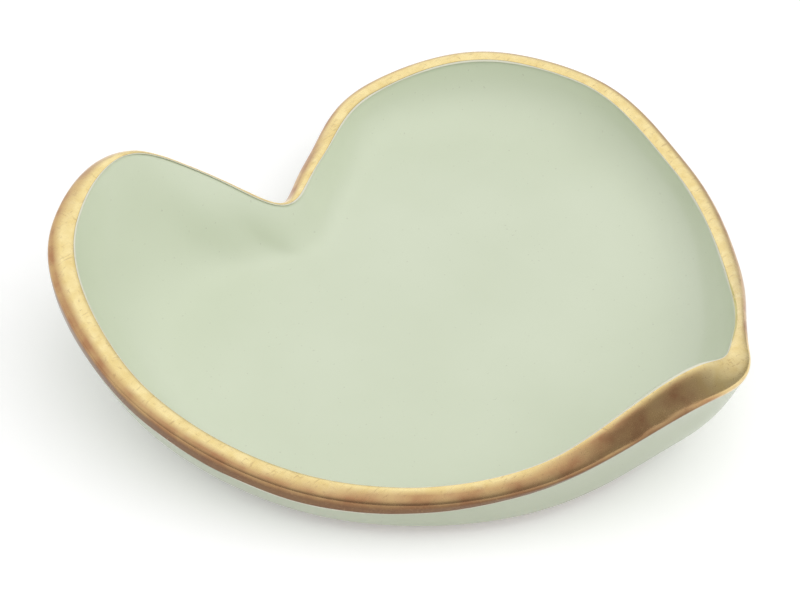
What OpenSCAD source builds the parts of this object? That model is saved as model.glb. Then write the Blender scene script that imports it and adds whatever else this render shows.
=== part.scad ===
// Heart-shaped ring dish, hand formed in glazed stoneware with a gold rim.
// The origin is on the table, under the middle of the dish. The tip of the heart
// points to -Y, the two lobes to +Y, and the dish opens to +Z.
// The rim runs through sixteen stations: the tip, seven on the right half, the
// cleft, and seven on the left half. Each has its own place and height.

/* [Tip and cleft] */
// Tip of the heart, across
tip_x = 4; // [1:0.5:6]
// Tip of the heart, along
tip_y = -54; // [-58.5:0.5:-52.5]
// Height of the rim at the tip
tip_z = 24.5; // [18:0.5:30]
// Cleft between the lobes, across
cleft_x = -5; // [-7:0.5:-3]
// Cleft between the lobes, along
cleft_y = 39; // [35.5:0.5:41.5]
// Height of the rim in the cleft
cleft_z = 14; // [11:0.5:18]

/* [Right half of the rim] */
// Corner beside the tip, across
nose_right_x = 9; // [7.5:0.5:11]
// Corner beside the tip, along
nose_right_y = -51.5; // [-52.5:0.5:-48.5]
// Height at the corner beside the tip
nose_right_z = 23.5; // [18:0.5:28]
// Flank between tip and side, across
flank_right_x = 32; // [28:0.5:36]
// Flank between tip and side, along
flank_right_y = -32.5; // [-36.5:0.5:-28.5]
// Height at the flank
flank_right_z = 16; // [12:0.5:22]
// Side of the dish, across
side_right_x = 54; // [50:0.5:58]
// Side of the dish, along
side_right_y = -2.5; // [-8.5:0.5:3.5]
// Height at the side
side_right_z = 12.5; // [10:0.5:18]
// Shoulder under the lobe, across
shoulder_right_x = 60.5; // [56:0.5:65]
// Shoulder under the lobe, along
shoulder_right_y = 23; // [17.5:0.5:27.5]
// Height at the shoulder
shoulder_right_z = 15; // [11:0.5:20]
// Outer turn of the lobe, across
lobe_right_x = 51; // [47:0.5:55]
// Outer turn of the lobe, along
lobe_right_y = 42.5; // [38.5:0.5:45.5]
// Height at the outer turn of the lobe
lobe_right_z = 16.5; // [12:0.5:22]
// Crown of the lobe, across
crown_right_x = 31.5; // [28:0.5:36]
// Crown of the lobe, along
crown_right_y = 52; // [48.5:0.5:55.5]
// Height at the crown of the lobe
crown_right_z = 13.5; // [11:0.5:20]
// Inner turn towards the cleft, across
notch_right_x = 10; // [8:0.5:13]
// Inner turn towards the cleft, along
notch_right_y = 44.5; // [42.5:0.5:47.5]
// Height at the inner turn
notch_right_z = 13; // [11:0.5:18]

/* [Left half of the rim] */
// Corner beside the tip, across
nose_left_x = -2.5; // [-5:0.5:-1.5]
// Corner beside the tip, along
nose_left_y = -53.5; // [-54:0.5:-50.5]
// Height at the corner beside the tip
nose_left_z = 26.5; // [20:0.5:30]
// Flank between tip and side, across
flank_left_x = -28; // [-32:0.5:-24]
// Flank between tip and side, along
flank_left_y = -41; // [-44.5:0.5:-37.5]
// Height at the flank
flank_left_z = 13.5; // [10:0.5:19]
// Side of the dish, across
side_left_x = -53; // [-57:0.5:-49]
// Side of the dish, along
side_left_y = -12; // [-16.5:0.5:-7.5]
// Height at the side
side_left_z = 11; // [9:0.5:16]
// Shoulder under the lobe, across
shoulder_left_x = -59.5; // [-64:0.5:-56]
// Shoulder under the lobe, along
shoulder_left_y = 20; // [15.5:0.5:24.5]
// Height at the shoulder
shoulder_left_z = 18; // [13:0.5:24]
// Outer turn of the lobe, across
lobe_left_x = -46.5; // [-50:0.5:-43]
// Outer turn of the lobe, along
lobe_left_y = 47.5; // [43.5:0.5:50.5]
// Height at the outer turn of the lobe
lobe_left_z = 26.5; // [20:0.5:30]
// Crown of the lobe, across
crown_left_x = -24; // [-27:0.5:-21]
// Crown of the lobe, along
crown_left_y = 55.5; // [52.5:0.5:57.5]
// Height at the crown of the lobe
crown_left_z = 28; // [20:0.5:30]
// Inner turn towards the cleft, across
notch_left_x = -12; // [-14:0.5:-10]
// Inner turn towards the cleft, along
notch_left_y = 48.5; // [46:0.5:50.5]
// Height at the inner turn
notch_left_z = 19.5; // [16:0.5:23]

/* [Wall] */
// Thickness of the floor
floor_thick = 3.5; // [3:0.25:4.5]
// How much lower the middle of the floor lies than its edge
floor_dip = 0.8; // [0:0.1:1.5]
// How far the outside of the wall stands out from the inside at the bend
wall_out = 3.2; // [2.6:0.1:3.6]
// Run of the wall at the tip, for each millimetre of rim above the floor
run_tip = 0.85; // [0.6:0.05:1.1]
// Run of the wall at the folded corner, for each millimetre of rim above the floor
run_fold = 0.6; // [0.4:0.05:0.8]
// Run of the wall along the front, for each millimetre of rim above the floor
run_front = 0.25; // [0.15:0.05:0.6]
// Run of the wall under the left lobe, for each millimetre of rim above the floor
run_left = 0.85; // [0.6:0.05:1.1]
// Run of the wall on the right half and at the cleft, for each millimetre of rim above the floor
run_back = 1.2; // [0.9:0.05:1.4]

/* [Lean of the wall at the rim, in degrees from upright] */
// Lean where the rim stands upright
lean_upright = 8; // [0:1:16]
// Lean at the tip
lean_tip = 20; // [10:1:30]
// Lean at the folded corner left of the tip
lean_fold = 47; // [38:1:52]
// Lean at the left flank
lean_flank = 36; // [28:1:44]
// Lean at the left side
lean_side = 14; // [6:1:22]
// Lean at the crown of the left lobe
lean_crown = 34; // [26:1:42]
// Lean where the left lobe rolls over towards the cleft
lean_roll = 58; // [50:1:64]
// Lean in the cleft
lean_cleft = 42; // [34:1:50]
// Lean at the inner turn of the right lobe
lean_notch = 28; // [20:1:36]

/* [Lip] */
// Thickness of the lip at the right flank and beside the tip
lip_thin = 2.8; // [2.2:0.1:3.4]
// Thickness of the lip round the right lobe and in the cleft
lip_lobe = 3.3; // [2.6:0.1:3.8]
// Thickness of the lip along the left side
lip_thick = 3.7; // [3:0.1:4.4]
// Width of the lip round the left lobe
lip_wide = 4.6; // [3.8:0.1:5.2]
// Width of the lip at the tip
lip_tip = 4.6; // [3.8:0.1:5.2]
// Width of the lip at the folded corner left of the tip
lip_fold = 6.2; // [5.2:0.1:6.8]
// How far the rounded edge of the lip stands up
lip_round = 1.2; // [0.8:0.1:1.6]

/* [Foot] */
// Depth of the hollow inside the foot ring
foot_high = 1.6; // [1:0.1:1.8]
// Width of the face that the dish stands on
foot_wide = 3; // [2:0.25:4]
// How far the foot ring stands in from the bend of the wall
foot_inset = 1.2; // [0.8:0.1:3]

/* [Coats] */
// Thickness of the glaze
glaze_thick = 0.4; // [0.3:0.05:0.6]
// Thickness of the gold
gold_thick = 0.2; // [0.15:0.05:0.3]
// How far the gold reaches down outside a thick lip
gold_drop = 1.6; // [1:0.1:2.4]
// How far the gold reaches down outside the folded and thin lip
gold_drop_thin = 0.6; // [0.4:0.1:1.2]

/* [Hidden] */

// Length of rim between two cuts through the wall
CUT_GAP = 5.2;
// Fewest cuts between two stations
CUTS_LEAST = 3;
// Middle of the floor
MIDDLE = [0, 1.5, 0];
// Shares of the floor outline at which the floor has a ring of points
FLOOR_RINGS = [0.4, 0.8];
// Rows of points up the inside of the wall, and down the outside
INNER_ROWS = 6;
OUTER_ROWS = 4;
// Turns over the lip in degrees, from the inside edge over the top to the outside
LIP_TURNS = [25, 55, 90, 125, 155, 180];
// Squareness of the lip, where 1 is a half round
LIP_SQUARE = 0.7;
// Pull of the floor and of the rim on the curve of the wall
BEND_LOW = 0.5;
BEND_HIGH = 0.36;
// Small bevel along the foot ring
FOOT_BEVEL = 0.4;
// Step from the hollow of the foot up to the bend of the wall
UNDER_STEP = 0.4;
// Height of the edge of the floor over the table
FLOOR_TOP = foot_high + UNDER_STEP + floor_thick;

// Stations in order round the rim, each with its place and height,
// the run and lean of its wall, and the width and outer depth of its gold lip
STATIONS = [
    [tip_x, tip_y, tip_z, run_tip, lean_tip, lip_tip, gold_drop_thin],
    [nose_right_x, nose_right_y, nose_right_z, run_tip, lean_upright, lip_thin, gold_drop_thin],
    [flank_right_x, flank_right_y, flank_right_z, run_back, lean_upright, lip_thin, gold_drop_thin],
    [side_right_x, side_right_y, side_right_z, run_back, lean_upright, lip_lobe, gold_drop_thin],
    [shoulder_right_x, shoulder_right_y, shoulder_right_z, run_back, lean_upright, lip_lobe, gold_drop_thin],
    [lobe_right_x, lobe_right_y, lobe_right_z, run_back, lean_upright, lip_lobe, gold_drop_thin],
    [crown_right_x, crown_right_y, crown_right_z, run_back, lean_upright, lip_lobe, gold_drop_thin],
    [notch_right_x, notch_right_y, notch_right_z, run_back, lean_notch, lip_lobe, gold_drop_thin],
    [cleft_x, cleft_y, cleft_z, run_back, lean_cleft, lip_lobe, gold_drop_thin],
    [notch_left_x, notch_left_y, notch_left_z, run_back, lean_roll, lip_lobe, gold_drop_thin],
    [crown_left_x, crown_left_y, crown_left_z, run_left, lean_crown, lip_thick, gold_drop_thin],
    [lobe_left_x, lobe_left_y, lobe_left_z, run_left, lean_upright, lip_wide, gold_drop],
    [shoulder_left_x, shoulder_left_y, shoulder_left_z, run_left, lean_upright, lip_thick, gold_drop],
    [side_left_x, side_left_y, side_left_z, run_front, lean_side, lip_thick, gold_drop],
    [flank_left_x, flank_left_y, flank_left_z, run_front, lean_flank, lip_thick, gold_drop_thin],
    [nose_left_x, nose_left_y, nose_left_z, run_fold, lean_fold, lip_fold, gold_drop_thin],
];
LAST = len(STATIONS) - 1;

function wrap(i, count) = (i + count) % count;
function flat(p) = [p[0], p[1], 0];
function unit(v) = v / max(norm(v), 0.000001);
function mix(a, b, t) = a + (b - a) * t;

// Smooth closed curve through keys that stand at uneven distances
function gap(keys, i) = norm(flat(keys[wrap(i + 1, len(keys))]) - flat(keys[wrap(i, len(keys))]));
function slope(keys, i) = let (
        n = len(keys),
        before = gap(keys, i - 1),
        after = gap(keys, i),
        a = (keys[wrap(i, n)] - keys[wrap(i - 1, n)]) / before,
        b = (keys[wrap(i + 1, n)] - keys[wrap(i, n)]) / after
    ) (a * after + b * before) / (before + after);
function along(keys, i, t) = let (
        n = len(keys),
        d = gap(keys, i),
        a = keys[i],
        b = keys[wrap(i + 1, n)],
        u = slope(keys, i) * d,
        v = slope(keys, wrap(i + 1, n)) * d
    ) a * (2 * t * t * t - 3 * t * t + 1) + u * (t * t * t - 2 * t * t + t)
        + b * (3 * t * t - 2 * t * t * t) + v * (t * t * t - t * t);

// Cubic curve with two end points and two pulling points
function bend(a, b, c, d, t) = let (s = 1 - t)
    a * s * s * s + b * 3 * s * s * t + c * 3 * s * t * t + d * t * t * t;

// Cuts round the rim, and the floor outline, which is a softer and smaller heart
CUTS = [for (i = [0 : LAST]) max(CUTS_LEAST, ceil(gap(STATIONS, i) / CUT_GAP))];
FLOOR_KEYS = [for (s = STATIONS) let (reach = flat(s) - MIDDLE) MIDDLE + reach * (1 - s[3] * (s[2] - FLOOR_TOP) / norm(reach))];
SOFT_KEYS = [for (i = [0 : LAST])
    (FLOOR_KEYS[wrap(i - 1, LAST + 1)] + 6 * FLOOR_KEYS[i] + FLOOR_KEYS[wrap(i + 1, LAST + 1)]) / 8];
RIM = [for (i = [0 : LAST]) for (k = [0 : CUTS[i] - 1]) along(STATIONS, i, k / CUTS[i])];
FLOOR = [for (i = [0 : LAST]) for (k = [0 : CUTS[i] - 1]) along(SOFT_KEYS, i, k / CUTS[i])];
N = len(RIM);

// Outward direction of the rim at each cut, and the two directions of the lip
OUTWARD = [for (j = [0 : N - 1]) let (t = flat(RIM[wrap(j + 1, N)]) - flat(RIM[wrap(j - 1, N)]))
    unit([t[1], -t[0], 0])];
ACROSS = [for (j = [0 : N - 1]) OUTWARD[j] * cos(RIM[j][4]) + [0, 0, -sin(RIM[j][4])]];
UPWARD = [for (j = [0 : N - 1]) OUTWARD[j] * sin(RIM[j][4]) + [0, 0, cos(RIM[j][4])]];

// Inner and outer corner of the lip, and the bend of the wall below
LIP_IN = [for (j = [0 : N - 1]) [RIM[j][0], RIM[j][1], RIM[j][2]] - UPWARD[j] * lip_round * 0.8];
LIP_OUT = [for (j = [0 : N - 1]) LIP_IN[j] + ACROSS[j] * RIM[j][5]];
BEND_IN = [for (f = FLOOR) [f[0], f[1], FLOOR_TOP]];
BEND_OUT = [for (f = FLOOR) let (reach = f - MIDDLE)
    MIDDLE + reach * (1 + wall_out / norm(reach)) + [0, 0, FLOOR_TOP - floor_thick]];

// Rows of points on the glazed surface
function floor_row(share) = [for (b = BEND_IN)
    mix([MIDDLE[0], MIDDLE[1], FLOOR_TOP], b, share) - [0, 0, floor_dip * (1 - share * share)]];
function wall_point(low, high, up, t) = bend(
    low,
    low + (flat(high) - flat(low)) * BEND_LOW,
    high - up * norm(high - low) * BEND_HIGH,
    high,
    t
);
function inner_row(t) = [for (j = [0 : N - 1]) wall_point(BEND_IN[j], LIP_IN[j], UPWARD[j], t)];
function lip_row(turn) = [for (j = [0 : N - 1]) let (
        c = sign(cos(turn)) * pow(abs(cos(turn)), LIP_SQUARE),
        s = pow(abs(sin(turn)), LIP_SQUARE)
    ) LIP_IN[j] + ACROSS[j] * RIM[j][5] * (1 - c) / 2 + UPWARD[j] * lip_round * s];
GOLD_END = [for (j = [0 : N - 1]) 1 - RIM[j][6] / norm(LIP_OUT[j] - BEND_OUT[j])];
function outer_row(share) = [for (j = [0 : N - 1])
    wall_point(BEND_OUT[j], LIP_OUT[j], UPWARD[j], GOLD_END[j] * share)];

INNER = concat(
    [for (share = FLOOR_RINGS) floor_row(share)],
    [for (k = [0 : INNER_ROWS]) inner_row(k / INNER_ROWS)]
);
LIP = [for (turn = LIP_TURNS) lip_row(turn)];
OUTER = [for (k = [OUTER_ROWS : -1 : 0]) outer_row(k / OUTER_ROWS)];
SKIN = concat(INNER, LIP, OUTER);
TOP_ROW = len(INNER) + 2;
GOLD_FROM = len(INNER);
GOLD_TO = len(INNER) + len(LIP);
SKIN_LAST = len(SKIN) - 1;

// Direction square to the glazed surface at each point
function skin_normal(i, j) = unit(cross(
    SKIN[i][wrap(j + 1, N)] - SKIN[i][wrap(j - 1, N)],
    SKIN[max(i - 1, 0)][j] - SKIN[min(i + 1, SKIN_LAST)][j]
));
NORMALS = [for (i = [0 : SKIN_LAST]) [for (j = [0 : N - 1]) skin_normal(i, j)]];
function layer(depth, first, last) = [for (i = [first : last])
    [for (j = [0 : N - 1]) SKIN[i][j] + NORMALS[i][j] * depth]];

// Foot ring and hollow under the floor, as rows that run down and inwards
function under_row(inset, z) = [for (f = FLOOR) let (reach = f - MIDDLE)
    flat(MIDDLE + reach * (1 - inset / norm(reach))) + [0, 0, z]];
FOOT = [
    under_row(foot_inset, foot_high + 0.3),
    under_row(foot_inset, FOOT_BEVEL),
    under_row(foot_inset + FOOT_BEVEL, 0),
    under_row(foot_inset + FOOT_BEVEL + foot_wide, 0),
    under_row(foot_inset + 2 * FOOT_BEVEL + foot_wide, FOOT_BEVEL),
    under_row(foot_inset + 2 * FOOT_BEVEL + foot_wide, foot_high),
];
HOLLOW = under_row(foot_inset + 2 * FOOT_BEVEL + foot_wide, foot_high);

// Faces between rows of points, with a fan to a middle point at either end.
// Rows from back onwards run the other way over a coat, and each quad is cut along
// the diagonal that the layer under it has, so that the two lie flush.
function strip(rows, back) = [for (i = [0 : rows - 2]) for (j = [0 : N - 1]) for (side = [0, 1])
    let (a = i * N + j, b = i * N + wrap(j + 1, N))
    i < back
        ? (side == 0 ? [a, b + N, a + N] : [a, b, b + N])
        : (side == 0 ? [a, b, a + N] : [b, b + N, a + N])];
function fan_first(hub) = [for (j = [0 : N - 1]) [hub, wrap(j + 1, N), j]];
function fan_last(hub, rows) = [for (j = [0 : N - 1])
    [hub, (rows - 1) * N + j, (rows - 1) * N + wrap(j + 1, N)]];
function ring_close(rows) = [for (j = [0 : N - 1]) for (side = [0, 1])
    let (a = (rows - 1) * N + j, b = (rows - 1) * N + wrap(j + 1, N), c = j, d = wrap(j + 1, N))
    side == 0 ? [a, b, c] : [b, d, c]];
function join_rows(rows) = [for (row = rows) for (p = row) p];
function reverse(rows) = [for (i = [len(rows) - 1 : -1 : 0]) rows[i]];

// Solid whose skin runs from a middle point over all rows to another middle point
module capped(rows, back, first_hub, last_hub) {
    count = len(rows);
    polyhedron(
        concat(join_rows(rows), [first_hub, last_hub]),
        concat(fan_first(count * N), strip(count, back), fan_last(count * N + 1, count)),
        convexity = 10
    );
}

// Solid whose skin runs round through all rows and closes on itself
module ringed(rows, back) {
    polyhedron(
        join_rows(rows),
        concat(strip(len(rows), back), ring_close(len(rows))),
        convexity = 10
    );
}

MIDDLE_TOP = [MIDDLE[0], MIDDLE[1], FLOOR_TOP - floor_dip];

module dish_body() {
    color([0.93, 0.90, 0.84])
        capped(
            concat(layer(-glaze_thick, 0, SKIN_LAST), FOOT),
            len(SKIN) + len(FOOT),
            MIDDLE_TOP - [0, 0, glaze_thick],
            [MIDDLE[0], MIDDLE[1], foot_high]
        );
}

module inner_glaze() {
    color([0.83, 0.87, 0.77])
        capped(
            concat(layer(0, 0, TOP_ROW), reverse(layer(-glaze_thick, 0, TOP_ROW))),
            TOP_ROW + 1,
            MIDDLE_TOP,
            MIDDLE_TOP - [0, 0, glaze_thick]
        );
}

module outer_glaze() {
    color([0.72, 0.76, 0.65])
        ringed(
            concat(layer(0, TOP_ROW, SKIN_LAST), reverse(layer(-glaze_thick, TOP_ROW, SKIN_LAST))),
            SKIN_LAST - TOP_ROW + 1
        );
}

module gold_band() {
    color([0.86, 0.72, 0.42])
        ringed(
            concat(layer(gold_thick, GOLD_FROM, GOLD_TO), reverse(layer(0, GOLD_FROM, GOLD_TO))),
            GOLD_TO - GOLD_FROM + 1
        );
}

module base_glaze() {
    color([0.72, 0.76, 0.65])
        capped(
            [HOLLOW, [for (p = HOLLOW) p - [0, 0, glaze_thick]]],
            2,
            [MIDDLE[0], MIDDLE[1], foot_high],
            [MIDDLE[0], MIDDLE[1], foot_high - glaze_thick]
        );
}

dish_body();
inner_glaze();
outer_glaze();
gold_band();
base_glaze();
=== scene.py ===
# %% [markdown]
# # A heart-shaped ring dish
# A ring dish like this is formed by hand from one slab of stoneware. The wall is bent
# up and rolled at the left lobe, the tip is pinched high, and the foot ring keeps the
# glazed underside off the kiln shelf. It is fired, glazed sage green, fired again, and
# a gold lustre is brushed over the lip for a last firing.
#
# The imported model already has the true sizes, in flat facets. This script dresses each
# of its solids: it copies the mesh, merges and squares it, lets a Subdivision Surface
# round it, and gives it a finish made of noise and bump nodes.

# %% Load the frame
import math

import bmesh
import bpy
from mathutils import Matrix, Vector, noise


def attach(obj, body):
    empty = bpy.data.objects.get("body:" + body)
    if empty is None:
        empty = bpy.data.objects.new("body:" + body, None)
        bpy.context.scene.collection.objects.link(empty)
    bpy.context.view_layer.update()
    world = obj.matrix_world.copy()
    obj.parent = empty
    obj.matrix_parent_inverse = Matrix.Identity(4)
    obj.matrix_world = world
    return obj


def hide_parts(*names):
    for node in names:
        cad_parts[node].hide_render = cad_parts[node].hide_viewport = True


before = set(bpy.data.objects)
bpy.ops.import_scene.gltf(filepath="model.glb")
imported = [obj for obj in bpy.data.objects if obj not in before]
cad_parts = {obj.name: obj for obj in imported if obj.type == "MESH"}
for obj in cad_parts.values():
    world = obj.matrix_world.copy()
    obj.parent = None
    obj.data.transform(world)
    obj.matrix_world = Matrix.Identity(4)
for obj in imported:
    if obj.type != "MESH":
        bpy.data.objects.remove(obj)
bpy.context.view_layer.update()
MM = 0.001


# %% [markdown]
# ## From facets to quads
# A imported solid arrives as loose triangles. Its doubles are merged first, and pairs of
# triangles become the quads that the wall was lofted from, because a Subdivision
# Surface makes an even, ripple-free skin only from quads. The floor ends in a fan of
# long triangles round one point. Cutting the spokes of that fan gives it rings, so the
# pinch at the middle shrinks to nothing.

# %% Merge, ring and square a copy of a solid
MERGE_GAP = 0.002 * MM
HUB_SPOKES = 20
FAN_CUTS = 4
BENT_QUAD_DEG = 100
SKEW_QUAD_DEG = 130


def fan_hubs(bm):
    """The middle points of the fans, which far more edges meet than any other point."""
    return [v for v in bm.verts if len(v.link_edges) > HUB_SPOKES]


def squared_copy(node):
    """A bmesh of a CAD solid, merged, with rings in its fans and quads elsewhere."""
    bm = bmesh.new()
    bm.from_mesh(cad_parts[node].data)
    bmesh.ops.remove_doubles(bm, verts=bm.verts, dist=MERGE_GAP)
    spokes = [e for hub in fan_hubs(bm) for e in hub.link_edges]
    bmesh.ops.subdivide_edges(bm, edges=spokes, cuts=FAN_CUTS, use_grid_fill=True)
    hubs = fan_hubs(bm)
    near_hub = {f for hub in hubs for f in hub.link_faces}
    triangles = [f for f in bm.faces if len(f.verts) == 3 and f not in near_hub]
    bmesh.ops.join_triangles(
        bm, faces=triangles, angle_face_threshold=math.radians(BENT_QUAD_DEG),
        angle_shape_threshold=math.radians(SKEW_QUAD_DEG),
    )
    bm.normal_update()
    print(f"{node}: {len(bm.verts)} points after merging, {len(hubs)} fans")
    return bm, hubs


# %% [markdown]
# ## A floor without a cone
# The rings cut into the fan still lie on straight spokes, so the floor would be a very
# flat cone. A slab that settles on its foot sags like a shallow bowl. Lifting each ring
# by the square of its distance from the middle gives that sag.

# %% Sag of the floor


def sag_floor(hubs):
    """Bends the rings of each fan into a shallow bowl, level at its middle."""
    for hub in hubs:
        ring = {v for f in hub.link_faces for v in f.verts} - {hub}
        reached, rings = ring | {hub}, [ring]
        for _ in range(FAN_CUTS):
            ring = {e.other_vert(v) for v in ring for e in v.link_edges} - reached
            reached |= ring
            rings.append(ring)
        low, rim = hub.co.z, rings[FAN_CUTS]
        edge = sum(v.co.z for v in rim) / len(rim)
        for count, ring in enumerate(rings[:FAN_CUTS], 1):
            for v in ring:
                v.co.z = low + (edge - low) * (count / (FAN_CUTS + 1)) ** 2
        print(f"fan at height {low / MM:.2f} mm, its rim {(edge - low) / MM:.2f} mm higher")


# %% [markdown]
# ## Crisp corners and round walls
# A Subdivision Surface rounds everything. A crease holds an edge where the real dish is
# crisp, such as the trimmed foot, and a half crease leaves a soft corner, as a coat of
# glaze or gold has at its end. The finished object stays at the origin, with its place
# in its mesh.

# %% Crease and finish a piece


def crease_corners(bm, sharper_than, amount):
    """Creases every edge that bends more than sharper_than degrees."""
    layers = bm.edges.layers.float
    crease = layers.get("crease_edge") or layers.new("crease_edge")
    bend = math.radians(sharper_than)
    corners = [e for e in bm.edges if len(e.link_faces) == 2 and e.calc_face_angle(0) > bend]
    for e in corners:
        e[crease] = amount
    print("corners creased:", len(corners))


def finished(bm, name, level=2):
    """The piece's object, at the origin, smooth and with its Subdivision Surface."""
    mesh = bpy.data.meshes.new(name)
    bm.to_mesh(mesh)
    quads = sum(len(f.verts) == 4 for f in bm.faces)
    print(f"{name}: {len(bm.faces)} faces, {quads} of them quads")
    bm.free()
    mesh.shade_smooth()
    piece = bpy.data.objects.new(name, mesh)
    bpy.context.scene.collection.objects.link(piece)
    rounding = piece.modifiers.new("rounding", "SUBSURF")
    rounding.levels = rounding.render_levels = level
    return piece


# %% [markdown]
# ## The clay body
# The body is the stoneware under the glaze. Only the ring that it stands on stays bare,
# so that it doesn't stick to the kiln shelf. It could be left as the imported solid, but
# the wall would show its facets inside the coats. The copy keeps the corners of the
# foot ring creased, because a turned or trimmed foot has crisp edges.

# %% Clay body
TRIMMED_DEG = 40
bm, hubs = squared_copy("dish_body")
sag_floor(hubs)
crease_corners(bm, sharper_than=TRIMMED_DEG, amount=1.0)
clay_body = finished(bm, "clay_body")
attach(clay_body, "root")
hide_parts("dish_body")

# %% [markdown]
# ## The sage glaze
# Glaze is a coat of glass about half a millimetre thick. It pools a little on the floor
# and rounds every edge, so a smooth skin that follows the clay is its whole form. The
# inside and outside coats meet under the gold, and the outside one ends with a soft
# bead above the foot.

# %% Glaze inside, outside and under the foot
COAT_END_DEG = 60
bm, hubs = squared_copy("inner_glaze")
sag_floor(hubs)
crease_corners(bm, sharper_than=TRIMMED_DEG, amount=1.0)
glaze_inside = finished(bm, "sage_glaze_inside")
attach(glaze_inside, "root")
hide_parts("inner_glaze")

bm, hubs = squared_copy("outer_glaze")
crease_corners(bm, sharper_than=COAT_END_DEG, amount=0.6)
glaze_outside = finished(bm, "sage_glaze_outside")
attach(glaze_outside, "root")
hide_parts("outer_glaze")

bm, hubs = squared_copy("base_glaze")
crease_corners(bm, sharper_than=TRIMMED_DEG, amount=1.0)
glaze_base = finished(bm, "sage_glaze_base")
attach(glaze_base, "root")
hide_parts("base_glaze")

# %% [markdown]
# ## Hand-brushed edges
# The lustre is painted on with a soft brush, so its two edges wander by a fraction of a
# millimetre. A texture could fake that wobble, but then the band would stay straight in
# the mesh. Here the points on the edge of the band slide along the surface by smooth
# noise, away from the row beside them or towards it.

# %% Slide the edges of a thin band
SKIN_GAP = 0.35 * MM
WOBBLE = 0.3


def edge_points(bm):
    """The points along the two edges of a thin band, each with the point beside it."""
    edge = {v for e in bm.edges if e.calc_length() < SKIN_GAP for v in e.verts}
    beside = {}
    for v in edge:
        inward = [e.other_vert(v) for e in v.link_edges if e.other_vert(v) not in edge]
        if inward:
            beside[v] = min(inward, key=lambda w: (w.co - v.co).length)
    return beside


def slide_edges(bm, reach):
    """Moves each edge point by reach(point, the point beside it)."""
    moves = {point: reach(point, beside) for point, beside in edge_points(bm).items()}
    for point, move in moves.items():
        point.co += move
    print("edge points moved:", len(moves))


def brushed(point, beside):
    """A wander along the surface, long and slow with a shorter one on top."""
    slow, quick = noise.noise(point.co / (9 * MM)), noise.noise(point.co / (3.5 * MM))
    return (point.co - beside.co) * WOBBLE * (slow + 0.5 * quick)


# %% [markdown]
# ## Where the gold gets painted shade
# The outside of the lip mirrors the dark near side of the room and faces away from the
# lamp, so its colour is painted bronze, as a painted dark reflection, and darker still low
# down, as painted shade. The finish needs to know where that is, from any side and not
# only from the camera. Each point stores it: 0 on the top, 1 where the lip turns outward,
# and 2 where the outside is upright or faces down. Near the tip the painted shade fades
# to 0.15 of itself, so the tip keeps the bright gold of a lit facet.

# %% Mark the outside of the lip
# Around this tip point the painted shade fades, so the tip stays bright like a lit facet.
TIP = Vector((4 * MM, -56 * MM, 24 * MM))
TIP_FADE_MM = (4, 11)
TIP_SHADE_LEFT = 0.15
TOP_PULL = 0.25


def share(value, low, high):
    """How far a value is from low to high, held from 0 to 1."""
    return min(1.0, max(0.0, (value - low) / (high - low)))


def mark_outside(bm):
    """Stores outer_side on each point, from the way that its surface faces."""
    side = bm.verts.layers.float.new("outer_side")
    bm.normal_update()
    for v in bm.verts:
        outward = Vector((v.co.x, v.co.y, 0)).normalized()
        # outer_side says how much painted shade the gold gets: a painted dark reflection outside,
        # darker facing down.
        outside = share(v.normal.dot(outward) - TOP_PULL * v.normal.z, -0.10, 0.18)
        upright = share(-v.normal.z, -0.45, 0.0)
        fade = max(TIP_SHADE_LEFT, share((v.co - TIP).length / MM, *TIP_FADE_MM))
        v[side] = outside * (1 + upright) * fade
    print("points on the outside of the lip:", sum(v[side] > 0.5 for v in bm.verts))


# %% [markdown]
# ## The gold lip
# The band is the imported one, with its edges brushed and its outside marked. It makes
# most of the outline against the table, so it gets one more level of rounding.

# %% Gold lip
bm, hubs = squared_copy("gold_band")
slide_edges(bm, brushed)
crease_corners(bm, sharper_than=COAT_END_DEG, amount=0.4)
mark_outside(bm)
gold_lip = finished(bm, "gold_lip", level=3)
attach(gold_lip, "root")
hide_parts("gold_band")

# %% [markdown]
# ## The painted highlight beside the gold
# The inside edge of the lip catches the light as a thin cream line between the sage and
# the gold. That line is a painted highlight. It is far too narrow to paint as an
# attribute, so it is a thin band of its own under the gold, a third of a millimetre wider
# and a little lower.

# %% Painted highlight line
LINE_WIDE = 0.32 * MM
LINE_SUNK = 0.06 * MM


def widened(point, beside):
    """A step outwards along the surface, of a width that varies round the rim."""
    away = (point.co - beside.co).normalized()
    return away * LINE_WIDE * (1 + 0.5 * noise.noise(point.co / (6 * MM)))


# This band carries the painted highlight along the lip's inside edge.
bm, hubs = squared_copy("gold_band")
slide_edges(bm, widened)
bm.normal_update()
for v in bm.verts:
    v.co -= v.normal * LINE_SUNK
crease_corners(bm, sharper_than=COAT_END_DEG, amount=0.4)
painted_highlight_line = finished(bm, "painted_highlight_line")
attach(painted_highlight_line, "root")

# %% [markdown]
# ## Noise and masks
# A finish is a small tree of nodes. It starts from noise, and a range turns the noise
# into a mask: a narrow range makes hard spots, and a wide one soft clouds. Naming these
# two steps once keeps each finish short.

# %% Noise and range nodes


def noise_node(tree, place, scale, detail, rough=0.5):
    node = tree.nodes.new("ShaderNodeTexNoise")
    node.inputs["Scale"].default_value = scale
    node.inputs["Detail"].default_value = detail
    node.inputs["Roughness"].default_value = rough
    tree.links.new(place, node.inputs["Vector"])
    return node.outputs["Fac"]


def spread(tree, value, low, high, to_low=0.0, to_high=1.0):
    """Maps a value from one range to another, and holds it there."""
    node = tree.nodes.new("ShaderNodeMapRange")
    ends = {"From Min": low, "From Max": high, "To Min": to_low, "To Max": to_high}
    for label, number in ends.items():
        node.inputs[label].default_value = number
    tree.links.new(value, node.inputs["Value"])
    return node.outputs["Result"]


# %% [markdown]
# ## Mixes and sums
# The masks then mix colours and change roughness. A Mix node has sockets for each kind
# of value, and the ones for colours come after those for numbers and vectors, so they
# are found by their place.

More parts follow.
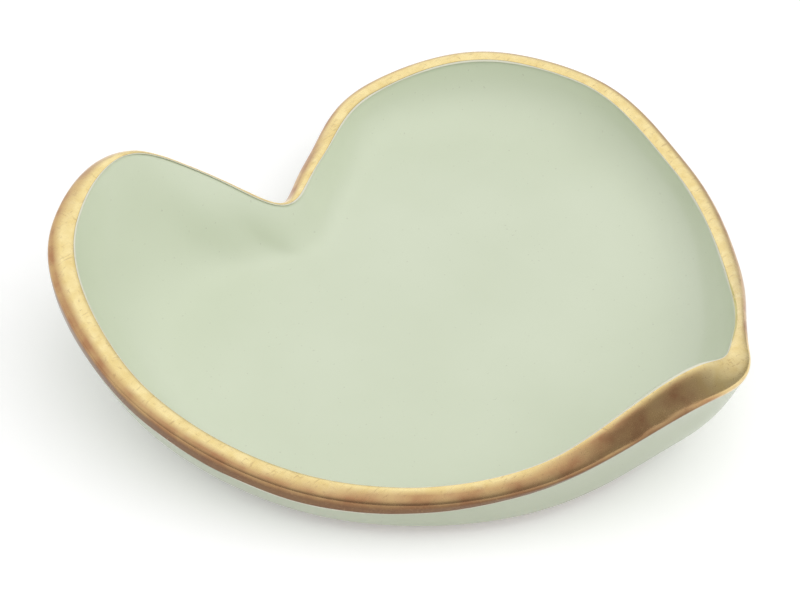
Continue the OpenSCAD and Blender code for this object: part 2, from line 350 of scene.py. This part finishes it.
# %% Mix and sum nodes
MASK_IN, FIRST_IN, SECOND_IN, COLOUR_OUT = 0, 6, 7, 2


def feed(tree, socket, source):
    """Sets a socket from a number or colour, or links it to another node's output."""
    if isinstance(source, bpy.types.NodeSocket):
        tree.links.new(source, socket)
    else:
        socket.default_value = source


def blend_colours(tree, mask, first, second):
    node = tree.nodes.new("ShaderNodeMix")
    node.data_type = "RGBA"
    for index, source in ((MASK_IN, mask), (FIRST_IN, first), (SECOND_IN, second)):
        feed(tree, node.inputs[index], source)
    return node.outputs[COLOUR_OUT]


def maths(tree, operation, first, second):
    node = tree.nodes.new("ShaderNodeMath")
    node.operation = operation
    feed(tree, node.inputs[0], first)
    feed(tree, node.inputs[1], second)
    return node.outputs[0]


# %% [markdown]
# ## The shared glaze effect
# Fired glaze is smooth glass over a slightly uneven coat. Three things make it read as
# glaze and not as paint: a faint cloudiness in the colour, tiny darker specks of iron
# from the clay, and a slow ripple that bends the reflections. One node group makes all
# three from noise, and each coat sets its own tones.

# %% Glaze group
COLOUR, FLOAT, VECTOR = "NodeSocketColor", "NodeSocketFloat", "NodeSocketVector"


def group_with(name, inputs, outputs):
    """A node group with named sockets of the given kinds, and its two end nodes."""
    made = bpy.data.node_groups.new(name, "ShaderNodeTree")
    for label, kind in inputs:
        made.interface.new_socket(label, in_out="INPUT", socket_type=kind)
    for label, kind in outputs:
        made.interface.new_socket(label, in_out="OUTPUT", socket_type=kind)
    return made, made.nodes.new("NodeGroupInput"), made.nodes.new("NodeGroupOutput")


tree, start, end = group_with(
    "fired_glaze",
    [("Place", VECTOR), ("Tone", COLOUR), ("Cloud", COLOUR), ("Speck", COLOUR), ("Roughness", FLOAT)],
    [("Colour", COLOUR), ("Roughness", FLOAT), ("Height", FLOAT)],
)
glaze_group, place = tree, start.outputs["Place"]
clouds = spread(tree, noise_node(tree, place, scale=38, detail=3), 0.35, 0.68)
colour = blend_colours(tree, clouds, start.outputs["Tone"], start.outputs["Cloud"])
iron = noise_node(tree, place, scale=1900, detail=1, rough=0.3)
specks = spread(tree, iron, 0.75, 0.81, to_high=0.25)
feed(tree, end.inputs["Colour"], blend_colours(tree, specks, colour, start.outputs["Speck"]))
uneven = spread(tree, noise_node(tree, place, scale=240, detail=2), 0.3, 0.7, -0.03, 0.05)
feed(tree, end.inputs["Roughness"], maths(tree, "ADD", start.outputs["Roughness"], uneven))
ripple = maths(tree, "MULTIPLY", noise_node(tree, place, scale=75, detail=1), 0.8)
peel = maths(tree, "MULTIPLY", noise_node(tree, place, scale=620, detail=1), 0.07)
feed(tree, end.inputs["Height"], maths(tree, "ADD", ripple, peel))
print("glaze group nodes:", len(tree.nodes))

# %% [markdown]
# ## A bare material
# Every finish starts from the same three nodes: a Principled shader, its output, and
# Object coordinates. The pattern then stays fixed to the clay, because a finished
# piece's object sits at the origin. Bump turns a height into a bent normal.

# %% Material and bump


def new_material(name, piece):
    """A material with a Principled shader, given to a piece as its only one."""
    material = bpy.data.materials.new(name)
    material.use_nodes = True
    tree = material.node_tree
    tree.nodes.clear()
    output = tree.nodes.new("ShaderNodeOutputMaterial")
    shader = tree.nodes.new("ShaderNodeBsdfPrincipled")
    tree.links.new(shader.outputs["BSDF"], output.inputs["Surface"])
    where = tree.nodes.new("ShaderNodeTexCoord").outputs["Object"]
    piece.data.materials.clear()
    piece.data.materials.append(material)
    print("finish", name, "on", piece.name)
    return tree, shader, where


def bumped(tree, shader, height, strength, distance):
    bump = tree.nodes.new("ShaderNodeBump")
    bump.inputs["Strength"].default_value = strength
    bump.inputs["Distance"].default_value = distance
    tree.links.new(height, bump.inputs["Height"])
    tree.links.new(bump.outputs["Normal"], shader.inputs["Normal"])


# %% [markdown]
# ## Sage glaze
# The shader stays in each material, and the group feeds only its colour, roughness and
# bump. A thin clear coat stands for the glassy top of the glaze: the body colour under
# it is soft, and the coat carries the glint. Inside and outside are one glaze in two
# copies. The bowl's tones are lighter, as painted light where the lamp falls into it, and
# the outside's are darker, as painted shade. The underside was dipped with the outside,
# so it shares that finish and its painted shade.

# %% Sage glaze materials
IRON_SPECK = (0.34, 0.33, 0.24, 1)
# The bowl's tones are lighter as painted light, and the wall's are darker as painted shade.
LIT_SAGE_BOWL, LIT_SAGE_BOWL_CLOUD = (0.672, 0.736, 0.558, 1), (0.702, 0.764, 0.590, 1)
SHADED_SAGE_WALL, SHADED_SAGE_WALL_CLOUD = (0.560, 0.608, 0.462, 1), (0.595, 0.643, 0.497, 1)
# Cream tones of the painted highlight along the lip's inside edge.
HIGHLIGHT_CREAM, HIGHLIGHT_CREAM_CLOUD = (0.760, 0.755, 0.610, 1), (0.800, 0.790, 0.650, 1)


def glaze(name, piece, tone, cloud, rough, coat):
    """The shared glaze effect in one coat's tones, on one piece."""
    tree, shader, where = new_material(name, piece)
    effect = tree.nodes.new("ShaderNodeGroup")
    effect.node_tree = glaze_group
    tones = {"Place": where, "Tone": tone, "Cloud": cloud, "Speck": IRON_SPECK, "Roughness": rough}
    for label, source in tones.items():
        feed(tree, effect.inputs[label], source)
    tree.links.new(effect.outputs["Colour"], shader.inputs["Base Color"])
    tree.links.new(effect.outputs["Roughness"], shader.inputs["Roughness"])
    shader.inputs["Coat Weight"].default_value = coat
    shader.inputs["Coat Roughness"].default_value = 0.12
    shader.inputs["IOR"].default_value = 1.45
    bumped(tree, shader, effect.outputs["Height"], strength=0.35, distance=0.3 * MM)


glaze("sage_glaze_bowl_painted_light", glaze_inside, LIT_SAGE_BOWL, LIT_SAGE_BOWL_CLOUD, rough=0.34, coat=0.30)
glaze("sage_glaze_wall_painted_shade", glaze_outside, SHADED_SAGE_WALL, SHADED_SAGE_WALL_CLOUD, rough=0.34, coat=0.30)
glaze_base.data.materials.clear()
glaze_base.data.materials.append(glaze_outside.data.materials[0])
# The cream line is a painted highlight, made in glaze tones.
glaze("painted_highlight_glaze", painted_highlight_line, HIGHLIGHT_CREAM, HIGHLIGHT_CREAM_CLOUD, rough=0.30, coat=0.25)

# %% [markdown]
# ## Bare clay
# The foot is unglazed stoneware: matt, warm grey, and gritty with sand that was mixed
# in. Fine noise makes the grit, and a wider noise stains it where the kiln's flame
# touched it.

# %% Clay material
CLAY, FLAME_STAIN, SAND = (0.66, 0.57, 0.45, 1), (0.76, 0.69, 0.58, 1), (0.33, 0.25, 0.17, 1)
tree, shader, where = new_material("bare_clay", clay_body)
stain = spread(tree, noise_node(tree, where, scale=60, detail=3), 0.35, 0.7)
colour = blend_colours(tree, stain, CLAY, FLAME_STAIN)
grit = noise_node(tree, where, scale=1500, detail=3, rough=0.7)
grains = spread(tree, grit, 0.66, 0.75, to_high=0.6)
tree.links.new(blend_colours(tree, grains, colour, SAND), shader.inputs["Base Color"])
tree.links.new(spread(tree, grit, 0.3, 0.7, 0.8, 0.95), shader.inputs["Roughness"])
bumped(tree, shader, grit, strength=0.5, distance=0.2 * MM)

# %% [markdown]
# ## Gold lustre
# Fired gold is a real metal film, thin enough to follow every brush mark. It is bright
# on the top of the lip. On the outside of the lip its colour is painted bronze, a painted
# dark reflection of the room, and darker still as painted shade where the outside is
# upright or faces down. The stored outer_side sets where, and noise breaks up the
# border between the tones.

# %% Gold colour
GOLD, GOLD_PALE = (0.85, 0.67, 0.30, 1), (0.93, 0.77, 0.39, 1)
# Bronze is a painted dark reflection on the lip's outside; the darker tone is painted shade where it
# faces down.
PAINTED_BRONZE_REFLECTION, PAINTED_DOWNWARD_SHADE = (0.44, 0.235, 0.115, 1), (0.17, 0.085, 0.045, 1)
REFLECTION_SHARE, DOWNWARD_SHADE_SHARE = 0.85, 0.85
tree, shader, where = new_material("gold_lustre", gold_lip)
side = tree.nodes.new("ShaderNodeAttribute")
side.attribute_name = "outer_side"
patches = spread(tree, noise_node(tree, where, scale=210, detail=3), 0.38, 0.66, -0.18, 0.18)
reflection_amount = maths(tree, "ADD", patches, REFLECTION_SHARE)
reflection_mask = maths(tree, "MULTIPLY", spread(tree, side.outputs["Fac"], 0, 1), reflection_amount)
downward_shade = spread(tree, side.outputs["Fac"], 1, 2, to_high=DOWNWARD_SHADE_SHARE)
cloudy = spread(tree, noise_node(tree, where, scale=420, detail=2), 0.35, 0.65)
colour = blend_colours(tree, cloudy, GOLD, GOLD_PALE)
colour = blend_colours(tree, reflection_mask, colour, PAINTED_BRONZE_REFLECTION)
colour = blend_colours(tree, downward_shade, colour, PAINTED_DOWNWARD_SHADE)
print("gold colour nodes:", len(tree.nodes))

# %% [markdown]
# ## Brush marks in the gold
# Long thin noise makes the brush marks and handling scratches in two directions. They
# change the roughness more than the colour, as real ones do, and leave a faint groove.
# The film itself is satin, and smoother in patches where the brush left more gold.

# %% Gold marks and gloss
SCRATCHED = (0.42, 0.27, 0.14, 1)


def streaks(tree, where, stretch, turn, scale, low, high):
    """Thin marks along one direction: noise that is squeezed by a Mapping node."""
    mapping = tree.nodes.new("ShaderNodeMapping")
    mapping.inputs["Scale"].default_value = stretch
    mapping.inputs["Rotation"].default_value = turn
    tree.links.new(where, mapping.inputs["Vector"])
    squeezed = noise_node(tree, mapping.outputs["Vector"], scale, detail=2, rough=0.6)
    return spread(tree, squeezed, low, high)


scratch_a = streaks(tree, where, (0.12, 1, 1), (0.1, 0.3, 0.7), 2600, 0.60, 0.70)
scratch_b = streaks(tree, where, (1, 0.10, 1), (0.5, 0.2, 0.25), 2900, 0.62, 0.72)
marks = maths(tree, "MAXIMUM", scratch_a, scratch_b)
worn = maths(tree, "MULTIPLY", marks, 0.35)
tree.links.new(blend_colours(tree, worn, colour, SCRATCHED), shader.inputs["Base Color"])
shader.inputs["Metallic"].default_value = 1.0
satin = spread(tree, noise_node(tree, where, scale=330, detail=3), 0.3, 0.7, 0.14, 0.26)
dulled = maths(tree, "ADD", satin, maths(tree, "MULTIPLY", marks, 0.15))
tree.links.new(dulled, shader.inputs["Roughness"])
grooves = maths(tree, "MULTIPLY", marks, -0.05)
brushwork = maths(tree, "ADD", noise_node(tree, where, scale=160, detail=2), grooves)
bumped(tree, shader, brushwork, strength=0.28, distance=0.3 * MM)
print("gold nodes:", len(tree.nodes))

# %% [markdown]
# ## Table
# The dish stands on a plain white table. It could be lit until it clips to white, but
# then the dish would bleach too. Instead the table is lifted to white only for the rays
# that look at it, so it puts no more light on the dish, and the dish keeps its shadow.

# %% Table
TABLE_HALF = 3.0
TABLE_LIFT = 0.26
TABLE_WHITE = (0.93, 0.93, 0.93, 1)
bm = bmesh.new()
bmesh.ops.create_grid(bm, x_segments=2, y_segments=2, size=TABLE_HALF)
table = bpy.data.objects.new("table", bpy.data.meshes.new("table"))
bm.to_mesh(table.data)
bm.free()
bpy.context.scene.collection.objects.link(table)

tree, shader, where = new_material("white_table", table)
shader.inputs["Base Color"].default_value = TABLE_WHITE
shader.inputs["Roughness"].default_value = 0.9
shader.inputs["Specular IOR Level"].default_value = 0.1
shader.inputs["Emission Color"].default_value = (1, 1, 1, 1)
rays = tree.nodes.new("ShaderNodeLightPath").outputs
looked_at = maths(tree, "MAXIMUM", rays["Is Camera Ray"], rays["Is Glossy Ray"])
lift = maths(tree, "MULTIPLY", looked_at, TABLE_LIFT)
tree.links.new(lift, shader.inputs["Emission Strength"])

# %% [markdown]
# ## Lamp
# One large soft lamp hangs high on the right, as a window beside the table would. Its
# own picture is kept out of the reflections, where it would be a hard white patch. The
# room's gradient takes its place there.

# %% Soft lamp
LAMP_WATTS = 13.5
LAMP_SIZE = (2.6, 2.2)
LAMP_AT = Vector((0.16, -0.60, 1.25))
lamp_data = bpy.data.lights.new("soft_lamp", "AREA")
lamp_data.shape = "RECTANGLE"
lamp_data.size, lamp_data.size_y = LAMP_SIZE
lamp_data.energy = LAMP_WATTS
lamp = bpy.data.objects.new("soft_lamp", lamp_data)
lamp.location = LAMP_AT
lamp.rotation_euler = (-LAMP_AT).to_track_quat("-Z", "Y").to_euler()
lamp.visible_glossy = False
bpy.context.scene.collection.objects.link(lamp)
print("lamp is", round(LAMP_AT.length, 2), "m from the dish")

# %% [markdown]
# ## Light for each kind of ray
# A world can give a different light to each kind of ray. What the camera sees behind
# the table, what metal mirrors, and what falls on the dish are then set one by one.

# %% Light levels and a switch


def light_level(tree, strength):
    """White light of one strength, or of one that changes with the direction."""
    node = tree.nodes.new("ShaderNodeBackground")
    node.inputs["Color"].default_value = (1, 1, 1, 1)
    feed(tree, node.inputs["Strength"], strength)
    return node.outputs[0]


def if_ray(tree, kind, otherwise, then):
    """One light for rays of a kind, such as the camera's, and another for the rest."""
    rays = tree.nodes.new("ShaderNodeLightPath").outputs
    node = tree.nodes.new("ShaderNodeMixShader")
    for socket, source in zip(node.inputs, (rays[kind], otherwise, then)):
        tree.links.new(source, socket)
    return node.outputs[0]


# %% [markdown]
# ## Room
# The world fills the shadows at a plain level. For glossy rays it is bright overhead and
# darker low on the near side, as a room is, because metal looks like gold only when it
# has something dark to reflect.

# %% World
FILL = 0.60
ROOM_DIM, ROOM_BRIGHT = 0.42, 1.05
FAR_PULL = 0.75
world = bpy.data.worlds.new("soft_room")
bpy.context.scene.world = world
world.use_nodes = True
tree = world.node_tree
tree.nodes.clear()
axes = tree.nodes.new("ShaderNodeSeparateXYZ")
tree.links.new(tree.nodes.new("ShaderNodeTexCoord").outputs["Generated"], axes.inputs[0])
far_side = maths(tree, "MULTIPLY", axes.outputs["Y"], FAR_PULL)
up_or_far = maths(tree, "ADD", far_side, axes.outputs["Z"])
room = spread(tree, up_or_far, 0.05, 0.85, ROOM_DIM, ROOM_BRIGHT)
lighting = if_ray(tree, "Is Glossy Ray", light_level(tree, FILL), light_level(tree, room))
lighting = if_ray(tree, "Is Camera Ray", lighting, light_level(tree, 1.0))
output = tree.nodes.new("ShaderNodeOutputWorld")
tree.links.new(lighting, output.inputs["Surface"])
bpy.context.scene.view_settings.view_transform = "Standard"
print("world nodes:", len(tree.nodes))

# %% [markdown]
# ## Camera
# A long lens from over half a metre away keeps the heart from stretching, and looks down
# into the bowl from the left of the tip, at the angle of the photograph.

# %% Camera at the photograph's angle
CAMERA_AT = Vector((-0.34581, -0.30334, 0.36603))
CAMERA_AIM = Vector((0.00360, 0.01800, -0.00087))
LENS = 150.3
camera_data = bpy.data.cameras.new("camera")
camera_data.sensor_width = 36
camera_data.lens = LENS
camera_data.clip_start = 0.05
camera_data.clip_end = 20
camera = bpy.data.objects.new("camera", camera_data)
camera.location = CAMERA_AT
camera.rotation_euler = (CAMERA_AIM - CAMERA_AT).to_track_quat("-Z", "Y").to_euler()
bpy.context.scene.collection.objects.link(camera)
bpy.context.scene.camera = camera
print("camera is", round((CAMERA_AIM - CAMERA_AT).length / MM), "mm from the dish")

# %% [markdown]
# ## Last update
# Dressing a solid must not change its size. The script ends by bringing the scene up to date.

# %% Bring the scene up to date
bpy.context.view_layer.update()
